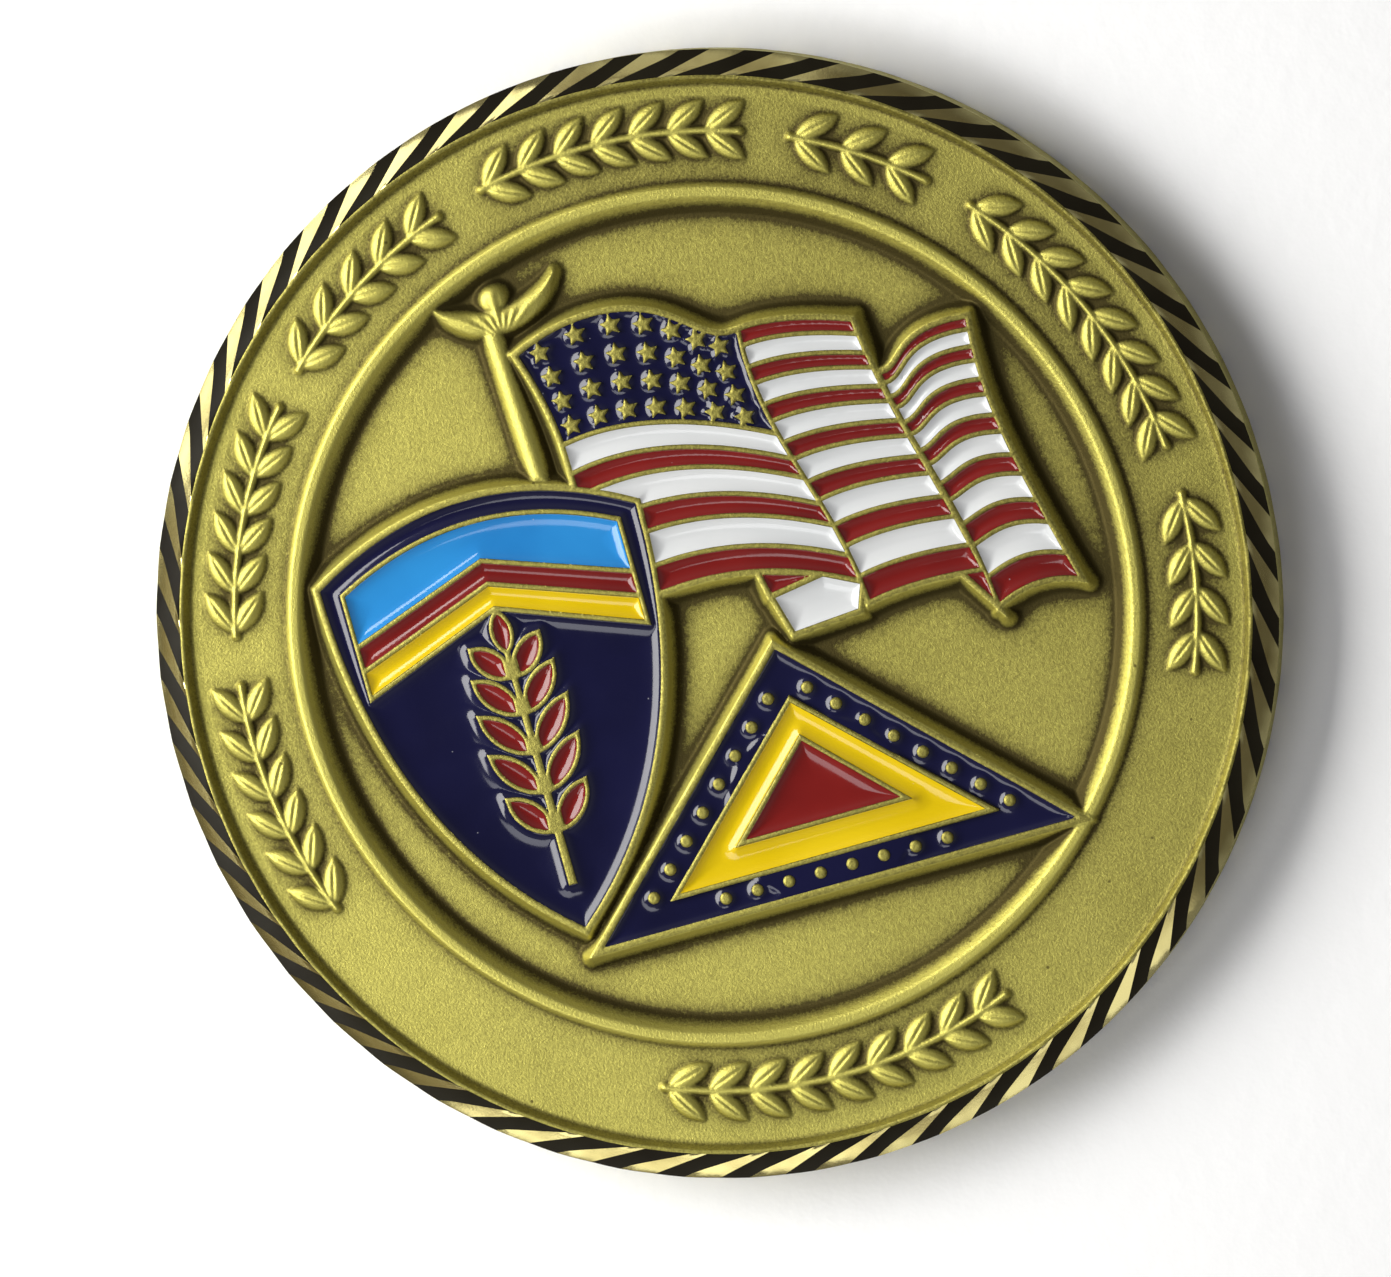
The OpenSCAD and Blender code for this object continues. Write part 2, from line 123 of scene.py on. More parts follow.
def flat_loops(name, level):
    """Outlines of a node's flat faces at one height, as closed rings of points."""
    mesh = nodes[name].data
    co = np.empty(len(mesh.vertices) * 3)
    mesh.vertices.foreach_get("co", co)
    mesh.calc_loop_triangles()
    tris = np.empty(len(mesh.loop_triangles) * 3, np.int64)
    mesh.loop_triangles.foreach_get("vertices", tris)
    points, where = np.unique(np.round(co.reshape(-1, 3) / MM, 4), axis=0, return_inverse=True)
    tris = where.reshape(-1)[tris].reshape(-1, 3)
    tris = tris[(np.abs(points[tris][:, :, 2] - level) < 0.004).all(1)]
    there = set(map(tuple, triangle_edges(tris).tolist()))
    after = {}
    for a, b in there:
        if (b, a) not in there:
            after.setdefault(a, []).append(b)
    loops = []
    while after:
        start = next(iter(sorted(after)))
        ring, here = [], start
        while here in after:
            ring.append(here)
            follow = after[here].pop()
            if not after[here]:
                del after[here]
            here = follow
            if here == start:
                break
        if len(ring) > 2:
            loops.append(points[ring][:, :2])
    return loops


def area(loop):
    """Area inside a loop, negative where it runs clockwise round a hole."""
    x, y = loop.T
    return 0.5 * float(np.sum(x * np.roll(y, -1) - np.roll(x, -1) * y))


def within(p, loops):
    """Whether each point is inside the loops."""
    a = np.concatenate(loops)
    b = np.concatenate([np.roll(loop, -1, 0) for loop in loops])
    x, y = p[:, :1], p[:, 1:] + 1e-7
    cross = (a[:, 1] <= y) != (b[:, 1] <= y)
    reach = a[:, 0] + (y - a[:, 1]) / np.where(a[:, 1] == b[:, 1], 1, b[:, 1] - a[:, 1]) \
        * (b[:, 0] - a[:, 0])
    return (cross & (reach > x)).sum(1) % 2 == 1


def span(p, q):
    return max(np.hypot(*(p - q)), 1e-6)


def smooth(loop, spacing=0.08, corner=28.0, same=0.004):
    """The loop resampled along a curve that keeps its corners sharp."""
    keep = [0]
    for i in range(1, len(loop)):
        if span(loop[i], loop[keep[-1]]) > same:
            keep.append(i)
    p = loop[keep]
    if span(p[0], p[-1]) < same:
        p = p[:-1]
    back, ahead = p - np.roll(p, 1, 0), np.roll(p, -1, 0) - p
    turn = np.degrees(np.abs(np.arctan2(back[:, 0] * ahead[:, 1] - back[:, 1] * ahead[:, 0],
                                        (back * ahead).sum(1))))
    bends = turn > 0.2
    p, turn = p[bends], turn[bends]
    sharp = turn > corner
    n = len(p)
    out = []
    for i in range(n):
        a, b = p[i], p[(i + 1) % n]
        gap = np.hypot(*(b - a))
        before = a - (b - a) if sharp[i] else p[i - 1]
        beyond = b + (b - a) if sharp[(i + 1) % n] else p[(i + 2) % n]
        ta = (b - before) / (span(b, a) + span(a, before)) * gap
        tb = (beyond - a) / (span(beyond, b) + span(b, a)) * gap
        count = max(1, int(math.ceil(gap / spacing)))
        for k in range(count):
            t = k / count
            out.append((2 * t**3 - 3 * t**2 + 1) * a + (t**3 - 2 * t**2 + t) * ta
                       + (3 * t**2 - 2 * t**3) * b + (t**3 - t**2) * tb)
    return np.array(out)


# ---- Fields on a square grid -------------------------------------------------


class Grid:
    """A square grid over one face of the coin, with distances to outlines."""

    def __init__(self, half, step):
        blocks = int(math.ceil(half / step / BLOCK))
        self.axis = np.arange(-blocks * BLOCK, blocks * BLOCK + 1) * step
        self.step = step
        self.n = len(self.axis)
        self.x, self.y = np.meshgrid(self.axis, self.axis, indexing="ij")
        self.r = np.hypot(self.x, self.y)

    def window(self, low, high, reach):
        """Slices of the grid that cover a box and reach past it."""
        i0, j0 = np.maximum(((np.asarray(low) - reach - self.axis[0]) / self.step).astype(int), 0)
        i1, j1 = np.minimum(((np.asarray(high) + reach - self.axis[0]) / self.step).astype(int) + 2,
                            self.n)
        return slice(i0, max(i1, i0)), slice(j0, max(j1, j0))

    def distance(self, loops, reach):
        """Signed distance to the loops, negative inside, and the nearest points."""
        dist = np.full((self.n, self.n), reach)
        near = np.stack([self.x, self.y], -1)
        for loop in loops:
            for a, b in zip(loop, np.roll(loop, -1, 0)):
                w = self.window(np.minimum(a, b), np.maximum(a, b), reach)
                x, y = self.x[w], self.y[w]
                if not x.size:
                    continue
                d = b - a
                t = np.clip(((x - a[0]) * d[0] + (y - a[1]) * d[1]) / max(d @ d, 1e-12), 0, 1)
                qx, qy = a[0] + t * d[0], a[1] + t * d[1]
                gap = np.hypot(x - qx, y - qy)
                closer = gap < dist[w]
                dist[w][closer] = gap[closer]
                near[w][closer] = np.stack([qx, qy], -1)[closer]
        return np.where(self.inside(loops), -dist, dist), near

    def inside(self, loops):
        """Which grid points the loops hold, found row by row."""
        a = np.concatenate(loops)
        b = np.concatenate([np.roll(loop, -1, 0) for loop in loops])
        result = np.zeros((self.n, self.n), bool)
        for j, y in enumerate(self.axis + 1e-6):
            hit = (a[:, 1] <= y) != (b[:, 1] <= y)
            p, q = a[hit], b[hit]
            xs = np.sort(p[:, 0] + (y - p[:, 1]) / (q[:, 1] - p[:, 1]) * (q[:, 0] - p[:, 0]))
            result[:, j] = np.searchsorted(xs, self.axis) % 2 == 1
        return result

    def blur(self, field, sigma):
        """The field softened by a Gaussian, sigma in millimetres."""
        k = 2 * math.pi * np.fft.fftfreq(self.n, self.step)
        gain = np.exp(-0.5 * (sigma * k) ** 2)
        spectrum = np.fft.rfft2(field) * gain[:, None] * gain[None, :self.n // 2 + 1]
        return np.fft.irfft2(spectrum, s=field.shape)


def smooth_max(a, b, k):
    """The larger of two fields, blended where they are within k of each other."""
    h = np.clip(0.5 + 0.5 * (a - b) / k, 0, 1)
    return b + (a - b) * h + k * h * (1 - h)


def leaf_places(a0, a1, radius, style):
    """Foot and heading of each leaf along an arc, as in the CAD model."""
    pairs = max(1, int(abs(a1 - a0) // style["pitch"]))
    pace = (a1 - a0) / pairs
    turn = 90 if a1 > a0 else -90
    places = []
    for i in range(pairs):
        a = a0 + pace * (i + 0.1)
        foot = (radius * math.cos(math.radians(a)), radius * math.sin(math.radians(a)))
        for side in (-1, 1):
            places.append((foot, math.radians(a + turn + side * style["lean"])))
    return places


def raise_sprig(grid, height, a0, a1, radius, style, top, flank, mirror=1):
    """Adds the relief of one leaf sprig to a height field."""
    length, width = style["length"], style["width"]
    lens = (length**2 + width**2) / (4 * width)
    edge = top * 0.42
    for foot, heading in leaf_places(a0, a1, radius, style):
        w = grid.window((foot[0] * mirror - length, foot[1] - length),
                        (foot[0] * mirror + length, foot[1] + length), 0.3)
        x, y = grid.x[w] * mirror - foot[0], grid.y[w] - foot[1]
        c, s = math.cos(heading), math.sin(heading)
        u, v = x * c + y * s, -x * s + y * c
        d = lens - np.maximum(np.hypot(u - length / 2, v - width / 2 + lens),
                              np.hypot(u - length / 2, v + width / 2 - lens))
        inner = np.clip(d / (width * 0.5), 0, 1)
        leaf = edge + (top - edge) * (1 - (1 - inner) ** 2)
        vein = np.exp(-(v / (0.055 * width / 0.78)) ** 2) * np.clip(u / length * 6, 0, 1)
        leaf = leaf - top * 0.28 * vein * np.clip((1 - u / length) * 5, 0, 1)
        leaf = np.where(d > 0, leaf, edge + d * flank)
        height[w] = np.maximum(height[w], leaf)
    low, high = sorted((math.radians(a0), math.radians(a1)))
    along = np.arctan2(grid.y, grid.x * mirror)
    middle = (low + high) / 2
    along = np.abs((along - middle + math.pi) % (2 * math.pi) - math.pi) - (high - low) / 2
    d = style["stem"] / 2 - np.hypot(grid.r - radius, np.maximum(along * radius, 0))
    crown = np.clip(d / style["stem"] * 2, 0, 1) ** 0.5
    stem = np.where(d > 0, edge + (top * 0.8 - edge) * crown, edge + d * flank)
    np.maximum(height, stem, out=height)


def turned(grid, points, soften=0.03, pace=0.005):
    """A turned profile, with its corners eased, as a height over the grid."""
    r = np.arange(0, EDGE_R + 1, pace)
    z = np.interp(r, *zip(*points))
    width = int(4 * soften / pace)
    kernel = np.exp(-0.5 * (np.arange(-width, width + 1) * pace / soften) ** 2)
    z = np.convolve(np.pad(z, width, mode="edge"), kernel / kernel.sum(), mode="valid")
    return np.interp(grid.r, r, z)


# ---- The obverse -------------------------------------------------------------

STUDDED = ("canton_field", "triangle_field")
fills = sorted(name for name in nodes if name != "coin_body")
cells = {name: [smooth(loop) for loop in flat_loops(name, Z_FILL)] for name in fills}
every_cell = [loop for name in fills for loop in cells[name]]
islands = [loop for name in STUDDED for loop in cells[name] if -0.7 < area(loop) < 0]
emblem = []
for loop in sorted(flat_loops("coin_body", Z_LAND), key=area, reverse=True):
    if area(loop) > 9 and not (emblem and within(loop[:1], emblem)[0]):
        emblem.append(loop)
emblem = [smooth(loop) for loop in emblem]
staff = [smooth(max(flat_loops("coin_body", Z_POLE), key=area))]

obverse = Grid(JOIN_R, STEP)
d_cell, near_cell = obverse.distance(every_cell, 0.3)
d_emblem, near_emblem = obverse.distance(emblem, 0.9)
d_staff, _ = obverse.distance(staff, 0.6)
d_island, _ = obverse.distance(islands, 0.3)


def obverse_heights():
    """Height of the struck metal over the obverse, with the cells left unsunk."""
    g = obverse
    z = turned(g, RING_PROFILE)
    sprigs = np.full_like(z, -1.0)
    for (a0, a1), radius in [(arc, SPRIG_R) for arc in SPRIGS] + [(LOWER_SPRIG, LOWER_SPRIG_R)]:
        raise_sprig(g, sprigs, a0, a1, radius, LEAF, Z_SPRIG - Z_BORDER, 1.1)
    z = smooth_max(z, np.where(g.r > RING_R - 0.1, Z_BORDER + sprigs, 0), 0.05)

    rod = np.clip(-d_staff / 0.38, 0, 1)
    foot = Z_POLE - 0.12
    top = foot + 0.15 * (1 - (1 - rod) ** 2)
    spoke = np.arctan2(g.y - FINIAL_HUB[1], g.x - FINIAL_HUB[0])
    grooves = 0.5 + 0.5 * np.cos(FEATHERS * spoke)
    top = top - 0.05 * rod * grooves * (g.y > FINIAL_FOOT_Y)
    z = smooth_max(z, np.where(d_staff > 0, foot - d_staff * 1.1, top), 0.08)
    z = g.blur(z, 0.035)

    bend = 0.03
    drop = np.sqrt(np.maximum(d_emblem, 0) ** 2 + bend**2) - bend
    z = np.where(d_emblem > 0, smooth_max(z, Z_LAND - 0.02 - EMBLEM_SLOPE * drop, 0.12), z)
    edge = np.minimum(np.abs(d_cell), np.abs(d_emblem))
    z = np.where(d_emblem < 0, Z_LAND - EDGE_ROUND * np.exp(-edge / 0.04), z)
    dome = Z_LAND - 0.04 + 0.06 * np.clip(-d_island / 0.1, 0, 1) ** 0.5
    return np.where(d_island < 0, dome, z)


def patina_and_painted_shade(grid, z):
    """How much dark finish lies in the hollows, with painted soft shade round the relief: 0 on worn
    tops, 1 in deep corners.
    """
    close = grid.blur(z, 0.09) - z
    wide = grid.blur(z, 0.28) - z
    # Painted shade: the broadest blur lays a wide soft dark band at the foot of every raised part
    painted_soft_shade = grid.blur(z, 0.6) - z
    steep = np.hypot(*np.gradient(grid.blur(z, 0.04), grid.step))
    return np.clip(0.25 + 3.5 * close + 4.0 * wide + 2.6 * painted_soft_shade
                   + 0.2 * np.clip(steep / 0.7, 0, 1), 0, 1)


def face_mesh(grid, z, shade, snaps=()):
    """Triangles over the grid inside the join: fine on relief, coarse on the flats.

    Each of snaps is a distance field, its nearest points and a level: grid
    points beside the outline move onto it, at that level.
    """
    n, b = grid.n, BLOCK
    x, y = grid.x.copy(), grid.y.copy()
    for dist, near, level in snaps:
        hit = np.abs(dist) < 0.5 * grid.step
        x[hit], y[hit] = near[hit].T
        z[hit] = level
    index = np.arange(n * n).reshape(n, n)
    live = grid.r <= JOIN_R - 0.08
    blocks = (n - 1) // b

    def tile(f, pick):
        """The field's least or greatest value over each coarse square."""
        reach = (blocks - 1) * b + 1
        return pick(np.stack([pick(np.stack([f[i:i + reach:b, j:j + reach:b]
                                             for j in range(b + 1)]), 0)
                              for i in range(b + 1)]), 0)

    flat = (tile(z, np.max) - tile(z, np.min) < 0.0012) & tile(live, np.min)
    coarse = flat & (tile(shade, np.max) - tile(shade, np.min) < 0.05)
    fine = live[:-1, :-1] & live[1:, :-1] & live[1:, 1:] & live[:-1, 1:]
    fine &= ~np.kron(coarse, np.ones((b, b), bool))
    i, j = np.nonzero(fine)
    c00, c10, c11, c01 = index[i, j], index[i + 1, j], index[i + 1, j + 1], index[i, j + 1]
    h = z.ravel()
    along = (np.abs(h[c00] - h[c11]) <= np.abs(h[c10] - h[c01]))[:, None]
    tris = [np.where(along, np.stack([c00, c10, c11], 1), np.stack([c10, c11, c01], 1)),
            np.where(along, np.stack([c00, c11, c01], 1), np.stack([c10, c01, c00], 1))]
    beside = np.pad(coarse, 1)
    fans = []
    for i, j in zip(*np.nonzero(coarse)):
        ring = []
        for (u, v), (du, dv), other in (((0, 0), (1, 0), (i + 1, j)),
                                        ((b, 0), (0, 1), (i + 2, j + 1)),
                                        ((b, b), (-1, 0), (i + 1, j + 2)),
                                        ((0, b), (0, -1), (i, j + 1))):
            for m in range(1 if beside[other] else b):
                ring.append(index[i * b + u + du * m, j * b + v + dv * m])
        hub = index[i * b + b // 2, j * b + b // 2]
        fans += [(hub, p, q) for p, q in zip(ring, ring[1:] + ring[:1])]
    if fans:
        tris.append(np.array(fans))
    used, tris = np.unique(np.concatenate(tris), return_inverse=True)
    points = np.stack([x.ravel()[used], y.ravel()[used], h[used]], 1)
    return points, tris.reshape(-1, 3), shade.ravel()[used]


# ---- The reverse, as heights above the coin's other face ---------------------


def star_share(x, y, r_out, r_in):
    """1 at a star's centre, 0 on its outline, falling evenly over each facet."""
    tenth = math.radians(36)
    angle = np.abs((np.arctan2(x, y) + tenth) % (2 * tenth) - tenth)
    r = np.hypot(x, y)
    px, py = r * np.cos(angle), r * np.sin(angle)
    qx, qy = r_in * math.cos(tenth), r_in * math.sin(tenth)
    b = py / qy
    return 1 - (px - b * qx) / r_out - b


def border_frame(g, degrees):
    """Coordinates across and along a radius, from a mark's centre on the border."""
    a = math.radians(degrees)
    return (g.x * math.cos(a) + g.y * math.sin(a),
            -g.x * math.sin(a) + g.y * math.cos(a) - SPRIG_R)


def reverse_heights(g):
    """Height of the struck metal over the reverse, counted from the coin's other face."""
    z = turned(g, [(0, REVERSE_FIELD), (RING_CREST[0] - 0.46, REVERSE_FIELD),
                   (RING_CREST[0], Z_RING), (RING_CREST[1], Z_RING), (RING_R, Z_BORDER),
                   (EDGE_R, Z_BORDER)])
    rise = np.full_like(z, -1.0)
    for side in (1, -1):
        raise_sprig(g, rise, *WREATH, WREATH_R, WREATH_LEAF, WREATH_RISE, 0.9, side)
    tie = TIE_R - np.hypot(g.x, g.y + WREATH_R)
    wraps = 0.05 * (0.5 - 0.5 * np.cos(2 * math.pi * g.x / 0.45))
    knot = 0.3 + 0.18 * np.sqrt(np.clip(tie / TIE_R, 0, 1)) - wraps
    rise = np.maximum(rise, np.where(tie > 0, knot, 0.3 - wraps + tie * 0.9))
    z = smooth_max(z, REVERSE_FIELD + rise, 0.05)

    for k in range(BORDER_MARKS):
        turn = 360 / BORDER_MARKS
        u, v = border_frame(g, turn * k)
        star = star_share(u, -v, BORDER_STAR_R, BORDER_STAR_R * GOLDEN_IN)
        raised = Z_BORDER + np.clip(star * 0.62, -1, BORDER_RISE)
        z = np.maximum(z, np.where(np.hypot(u, v) < 2, raised, 0))
        u, v = border_frame(g, turn * (k + 0.5))
        gap = np.minimum(BORDER_BAR[0] - np.abs(u), BORDER_BAR[1] - np.abs(v))
        raised = Z_BORDER + np.clip(gap * 1.3 + 0.1, -1, BORDER_RISE)
        z = np.maximum(z, np.where(g.r > RING_R, raised, 0))

    point, notch, height = STAR_BASE
    base = star_share(g.x, g.y, STAR_OUT + point, STAR_IN + notch)
    z = np.maximum(z, np.where(base > 0, REVERSE_FIELD + np.clip(base * 3, 0, height), 0))
    peak = star_share(g.x, g.y, STAR_OUT, STAR_IN)
    z = np.maximum(z, np.where(peak > 0, REVERSE_FIELD + 0.075 + STAR_RISE * peak, 0))
    return g.blur(z, 0.04)


# ---- The turned rim with its slanting cuts ----------------------------------


def shear(r):
    """How far round a cut has slanted by radius r."""
    s = -CREST_R * math.sin(SLANT)
    s += math.sqrt(s * s + max(r * r - CREST_R**2, 0))
    return -math.atan2(s * math.cos(SLANT), CREST_R + s * math.sin(SLANT))


def short_share(r):
    """The dark flank's share of a cut, which narrows the bright one towards the crest."""
    at_crest = 0.77
    return CUT_SHORT + (at_crest - CUT_SHORT) * np.clip(1 - (r - CREST_R) / 0.8, 0, 1) ** 1.4


def half_rim():
    """Rings of the rim from the join down to mid height.

    Each is its radius, its height, how far the cuts' ridges stand above that,
    and its share of dark finish.
    """
    foot = CREST_R - CREST_W - RIM_WALL
    top = foot + RIM_WALL
    rings = [(JOIN_R, Z_BORDER, 0, 0.25), (foot - 0.12, Z_BORDER, 0, 0.27),
             (foot + 0.01, Z_BORDER + 0.01, 0, 0.7), (foot + 0.06, Z_BORDER + 0.06, 0, 0.55),
             (top - 0.03, THICK - 0.045, 0, 0.42), (top + 0.01, THICK, 0, 0.5),
             (CREST_R - 0.03, THICK, 0, 0.5)]
    for t in (0, 0.06, 0.2, 0.4, 0.6, 0.8, 1):
        valley = 0.04 + (CUT_DEPTH - 0.04) * min(1, t / 0.8)
        ridge = min(CUT_DEPTH / CUT_LONG * (1 - short_share(CREST_R + t)), valley + BAND_DROP * t)
        rings.append((CREST_R + t, THICK - BAND_DROP * t - valley, ridge, 0.3))
    rings += [(EDGE_R, 2.36, 0, 0.35), (EDGE_R, 1.9, 0, 0.4), (EDGE_R, THICK / 2, 0, 0.4)]
    return rings


def rim_mesh():
    """Points, triangles, dark shares and material slots of the rim, and its ring count."""
    upper = half_rim()
    rings = upper + [(r, THICK - z, -cut, dark) for r, z, cut, dark in upper[-2::-1]]
    low = np.tile([max(1 - s / CUT_SHORT, (s - CUT_SHORT) / CUT_LONG) for s in SPLIT], CUTS)
    points, dark = [], []
    for r, z, cut, shade in rings:
        short = short_share(r)
        share = [s / CUT_SHORT * short if s <= CUT_SHORT else
                 1 - (1 - s) / CUT_LONG * (1 - short) for s in SPLIT]
        share = np.array([k + s for k in range(CUTS) for s in share]) / CUTS
        a = 2 * math.pi * share + shear(r)
        points.append(np.stack([r * np.cos(a), r * np.sin(a), z + cut * (1 - low)], 1))
        dark.append(np.full(COLUMNS, shade))
    flanks = np.tile([1 if s < CUT_SHORT - 1e-6 else 2 for s in SPLIT], CUTS)
    plain = np.zeros(COLUMNS, int)
    tris, slots = [], []
    c = np.arange(COLUMNS)
    d = (c + 1) % COLUMNS
    for k in range(len(rings) - 1):
        p, q = k * COLUMNS, (k + 1) * COLUMNS
        tris += [np.stack([p + c, q + c, q + d], 1), np.stack([p + c, q + d, p + d], 1)]
        slots += [flanks if rings[k][2] and rings[k + 1][2] else plain] * 2
    return (np.concatenate(points), np.concatenate(tris), np.concatenate(dark),
            np.concatenate(slots), len(rings))


def zipped(points, tris, offset, ring, ring_offset, flip):
    """Triangles for the strip between a face's outer loop and a ring of the rim."""
    loop = open_edges(tris, len(points))[:, 0]
    loop = loop[np.argsort(np.arctan2(points[loop, 1], points[loop, 0]))]
    turn = np.argsort(np.arctan2(ring[:, 1], ring[:, 0]))
    loops = [ring[turn, :2], points[loop, :2]]
    flat = np.concatenate(loops)
    ids = np.concatenate([turn + ring_offset, loop + offset])
    verts, faces = triangulated(flat, loops)
    out = np.array([ids[np.argmin(((flat - v) ** 2).sum(1))] for v in verts])[faces]
    return out[:, ::-1] if flip else out


def new_mesh(name, points, tris, sharp, slots=None, values=None):
    """A linked object with smooth shading, sharp where it turns by more than sharp."""
    mesh = bpy.data.meshes.new(name)
    mesh.vertices.add(len(points))
    mesh.vertices.foreach_set("co", (points * MM).ravel())
    mesh.loops.add(tris.size)
    mesh.loops.foreach_set("vertex_index", tris.ravel().astype(np.int32))
    mesh.polygons.add(len(tris))
    mesh.polygons.foreach_set("loop_start", np.arange(0, tris.size, 3, dtype=np.int32))
    if slots is not None:
        mesh.polygons.foreach_set("material_index", slots.astype(np.int32))
    for key, data in (values or {}).items():
        field = mesh.attributes.new(key, "FLOAT", "POINT").data
        field.foreach_set("value", data.astype(np.float32))
    mesh.update(calc_edges=True)
    mesh.validate()
    mesh.shade_smooth()
    mesh.set_sharp_from_angle(angle=math.radians(sharp))
    if slots is not None:
        edge = np.empty(tris.size, np.int32)
        mesh.loops.foreach_get("edge_index", edge)
        low, high = np.full(len(mesh.edges), slots.max()), np.zeros(len(mesh.edges), int)
        np.minimum.at(low, edge, np.repeat(slots, 3))
        np.maximum.at(high, edge, np.repeat(slots, 3))
        crease = np.zeros(len(mesh.edges), bool)
        mesh.attributes["sharp_edge"].data.foreach_get("value", crease)
        mesh.attributes["sharp_edge"].data.foreach_set("value", crease | (low != high))
    piece = bpy.data.objects.new(name, mesh)
    bpy.context.scene.collection.objects.link(piece)
    return piece


def coin_metal():
    """The whole struck body: obverse, rim and reverse as one closed mesh."""
    top_z = obverse_heights()
    floor = np.where(d_cell < 0, Z_FLOOR, top_z)
    shade = patina_and_painted_shade(obverse, top_z)
    # Painted shade: a dark band at the foot of the ring's inner slope
    shade += 0.22 * np.exp(-((obverse.r - RING_CREST[0] + 0.35) / 0.3) ** 2)    # inside the ring
    shade = np.where(d_emblem < 0, 0.46, shade)
    top, top_tris, top_dark = face_mesh(obverse, floor, shade,
                                        [(d_cell, near_cell, Z_LAND - EDGE_ROUND),
                                         (d_emblem, near_emblem, Z_LAND - 0.02)])
    g = Grid(JOIN_R, 2 * STEP)
    low_z = reverse_heights(g)
    low, low_tris, low_dark = face_mesh(g, low_z, patina_and_painted_shade(g, low_z))
    rim, rim_tris, rim_dark, rim_slots, count = rim_mesh()
    a, b = len(top), len(top) + len(rim)
    low = low * [1, 1, -1] + [0, 0, THICK]
    join = zipped(top, top_tris, 0, rim[:COLUMNS], a, False)
    last = (count - 1) * COLUMNS
    join_low = zipped(low, low_tris, b, rim[last:], a + last, True)
    tris = [top_tris, rim_tris + a, low_tris[:, ::-1] + b, join, join_low]
    slots = [np.zeros(len(t), int) for t in tris]
    slots[1] = rim_slots
    return new_mesh("coin_metal", np.concatenate([top, rim, low]), np.concatenate(tris), 62,
                    np.concatenate(slots),
                    {"patina_and_painted_shade": np.concatenate([top_dark, rim_dark, low_dark])})


# ---- Enamel fills ------------------------------------------------------------


def outline_distance(p, loops):
    """Distance from each point to the nearest of the loops."""
    a = np.concatenate(loops)
    d = np.concatenate([np.roll(loop, -1, 0) for loop in loops]) - a
    best = np.full(len(p), 9.0)
    for k in range(0, len(a), 256):
        s, e = a[k:k + 256], d[k:k + 256]
        t = ((p[:, None] - s) * e).sum(-1) / np.maximum((e * e).sum(-1), 1e-12)
        gap = p[:, None] - s - np.clip(t, 0, 1)[..., None] * e
        best = np.minimum(best, np.sqrt((gap * gap).sum(-1)).min(1))
    return best


def triangulated(points, loops):
    """Delaunay triangles inside the loops, whose points come first in points."""
    edges, start = [], 0
    for loop in loops:
        n = len(loop)
        edges += [(start + k, start + (k + 1) % n) for k in range(n)]
        start += n
    verts, _, faces, *_ = delaunay_2d_cdt([Vector(p) for p in points.tolist()], edges, [], 0, 1e-6)
    verts = np.array([tuple(v) for v in verts])
    tris = np.array([f for f in faces if len(f) == 3])
    tris = tris[within(verts[tris].mean(1), loops)]
    p, q, r = verts[tris[:, 0]], verts[tris[:, 1]], verts[tris[:, 2]]
    turn = (q[:, 0] - p[:, 0]) * (r[:, 1] - p[:, 1]) - (q[:, 1] - p[:, 1]) * (r[:, 0] - p[:, 0])
    tris[turn < 0] = tris[turn < 0][:, ::-1]
    return verts, tris[np.abs(turn) > 1e-9]


def fill_points(loops):
    """Points inside a cell: a ring just inside each loop, then an even grid."""
    rim = np.concatenate(loops)
    inner = []
    for loop in loops:
        along = np.roll(loop, -1, 0) - np.roll(loop, 1, 0)
        inward = np.stack([-along[:, 1], along[:, 0]], 1)
        inward /= np.maximum(np.hypot(*inward.T), 1e-9)[:, None]
        ring = loop + inward * 0.05
        inner.append(ring[outline_distance(ring, loops) > 0.045])
    pitch = 0.1
    x = np.arange(rim[:, 0].min(), rim[:, 0].max(), pitch)
    y = np.arange(rim[:, 1].min(), rim[:, 1].max(), pitch * 0.866)
    gx, gy = np.meshgrid(x, y)
    gx[1::2] += pitch / 2
    grid = np.stack([gx.ravel(), gy.ravel()], 1)
    inner.append(grid[outline_distance(grid, loops) > 0.1])
    inner = np.concatenate(inner)
    return inner[within(inner, loops)]


def fill_heights(p, loops, level, studded):
    """Height of the enamel's top, which creeps up the walls and round any studs."""
    if not studded:
        return level - 0.03 + 0.23 * np.exp(-outline_distance(p, loops) / 0.28)
    walls = [loop for loop in loops if area(loop) > 0]
    creep = np.exp(-outline_distance(p, walls) / 0.15)
    for loop in loops:
        if area(loop) < 0:
            hub = loop.mean(0)
            away = np.hypot(*(p - hub).T) - 0.85 * np.hypot(*(loop - hub).T).mean()
            creep += np.exp(-np.maximum(away, 0) / 0.17)
    return level + 0.17 * np.minimum(creep, 1)


def enamel(name, level):
    """One closed fill, from the floor of its recess to its glossy top."""
    loops = cells[name]
    rim = np.concatenate(loops)
    top, faces = triangulated(np.concatenate([rim, fill_points(loops)]), loops)
    z = fill_heights(top, loops, level, name in STUDDED)
    border = open_edges(faces, len(top))
    ids = np.unique(border)
    below = np.zeros(len(top), int)
    below[ids] = len(top) + np.arange(len(ids))
    a, b = border.T
    walls = [np.stack([b, a, below[a]], 1), np.stack([b, below[a], below[b]], 1)]
    floor, floor_faces = triangulated(rim, loops)
    nearest = np.array([ids[np.argmin(((top[ids] - p) ** 2).sum(1))] for p in floor])
    walls.append(below[nearest[floor_faces]][:, ::-1])
    points = np.concatenate([np.column_stack([top, z]),
                             np.column_stack([top[ids], np.full(len(ids), Z_FLOOR)])])
    return new_mesh(name + "_fill", points, np.concatenate([faces] + walls), 50)


# ---- Materials ---------------------------------------------------------------


